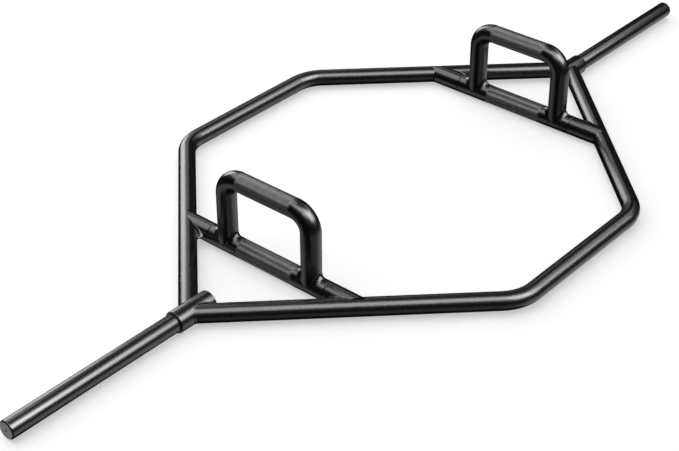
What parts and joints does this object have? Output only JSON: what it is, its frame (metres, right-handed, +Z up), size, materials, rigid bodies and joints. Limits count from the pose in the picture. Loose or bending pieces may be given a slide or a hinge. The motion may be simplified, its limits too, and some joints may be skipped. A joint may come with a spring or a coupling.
{
  "type": "hex trap bar",
  "caption": "Hexagonal welded steel lifting bar to stand inside, with plate sleeves on its ends and knurled grips at frame height and on raised handles.",
  "frame": {"origin": "on the floor under the middle of the hexagon", "axes": "+X along the bar towards the right sleeve, +Y towards the rear frame tube, +Z up"},
  "size_m": [1.42, 0.619, 0.1314],
  "materials": {
    "frame_coat": "semi-gloss black powder coat, fine grain",
    "sleeve_coat": "smooth satin black",
    "grip_coat": "black coat over a knurled middle",
    "handle_coat": "gloss black bends with a knurled grey-black top",
    "weld_coat": "gloss black over weld beads"
  },
  "bodies": {
    "root": {"front_frame_tube": "frame_coat", "rear_frame_tube": "frame_coat", "left_collar": "frame_coat", "left_sleeve": "sleeve_coat", "left_sleeve_weld": "weld_coat", "left_low_grip": "grip_coat", "left_raised_handle": "handle_coat", "left_front_stub": "grip_coat", "left_front_collar_weld": "weld_coat", "left_front_stub_weld": "weld_coat", "left_front_handle_weld": "weld_coat", "left_rear_stub": "grip_coat", "left_rear_collar_weld": "weld_coat", "left_rear_stub_weld": "weld_coat", "left_rear_handle_weld": "weld_coat", "right_collar": "frame_coat", "right_sleeve": "sleeve_coat", "right_sleeve_weld": "weld_coat", "right_low_grip": "grip_coat", "right_raised_handle": "handle_coat", "right_front_stub": "grip_coat", "right_front_collar_weld": "weld_coat", "right_front_stub_weld": "weld_coat", "right_front_handle_weld": "weld_coat", "right_rear_stub": "grip_coat", "right_rear_collar_weld": "weld_coat", "right_rear_stub_weld": "weld_coat", "right_rear_handle_weld": "weld_coat"}
  },
  "joints": []
}
